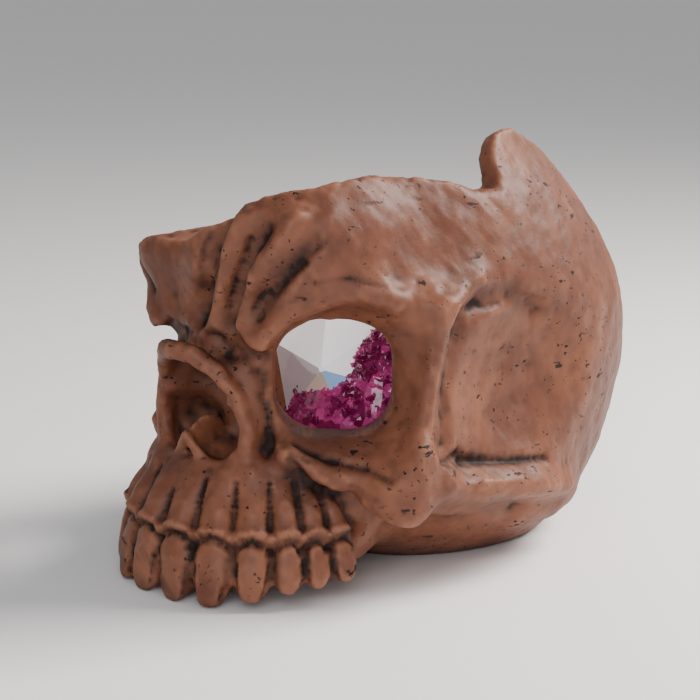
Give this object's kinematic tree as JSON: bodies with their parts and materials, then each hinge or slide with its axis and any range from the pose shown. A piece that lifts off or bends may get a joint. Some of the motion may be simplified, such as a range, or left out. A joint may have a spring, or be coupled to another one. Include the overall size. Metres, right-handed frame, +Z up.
{
  "type": "aquarium ornament",
  "caption": "Resin skull ornament with an open, broken cranium; an air stone inside bubbles up around a lift-out crystal insert seen through the eyes.",
  "frame": {"origin": "on the table plane under the middle of the ornament", "axes": "+Z up, the face looks towards -Y, the skull's left side is +X"},
  "size_m": [0.106, 0.1642, 0.1152],
  "materials": {
    "painted_resin": "cast polyester resin, terracotta paint with a dark brown wash, satin lacquer",
    "black_rubber": "moulded rubber, matt",
    "clear_silicone": "translucent silicone tube",
    "mineral_stone": "sintered mineral grit, rough",
    "blue_plastic": "moulded polypropylene",
    "grey_plastic": "moulded ABS",
    "stainless_steel": "stainless, plain",
    "smoke_plastic": "moulded acetal",
    "black_plastic": "moulded ABS",
    "magenta_glass": "tinted glass crystal, faceted and glossy",
    "clear_crystal": "clear faceted glass crystal"
  },
  "bodies": {
    "skull": {"skull_casting": "painted_resin", "inlet_grommet": "black_rubber", "inner_air_tube": "clear_silicone", "air_stone": "mineral_stone", "air_stone_nipple": "blue_plastic", "stone_cradle": "grey_plastic", "cradle_screws": "stainless_steel"},
    "inlet": {"inlet_elbow": "smoke_plastic", "inlet_collar": "smoke_plastic"},
    "insert": {"crystal_tray": "black_plastic", "crystal_bed": "magenta_glass", "crystal_point_large": "clear_crystal"}
  },
  "joints": [
    {"name": "inlet_swivel", "type": "hinge", "parent": "skull", "child": "inlet", "pos_m": [0, 0.0786, 0.018], "axis": [0, 1, 0], "range_deg": [-90, 90]},
    {"name": "insert_lift", "type": "slide", "parent": "skull", "child": "insert", "axis": [0, 0, 1], "range_m": [0, 0.12]}
  ]
}
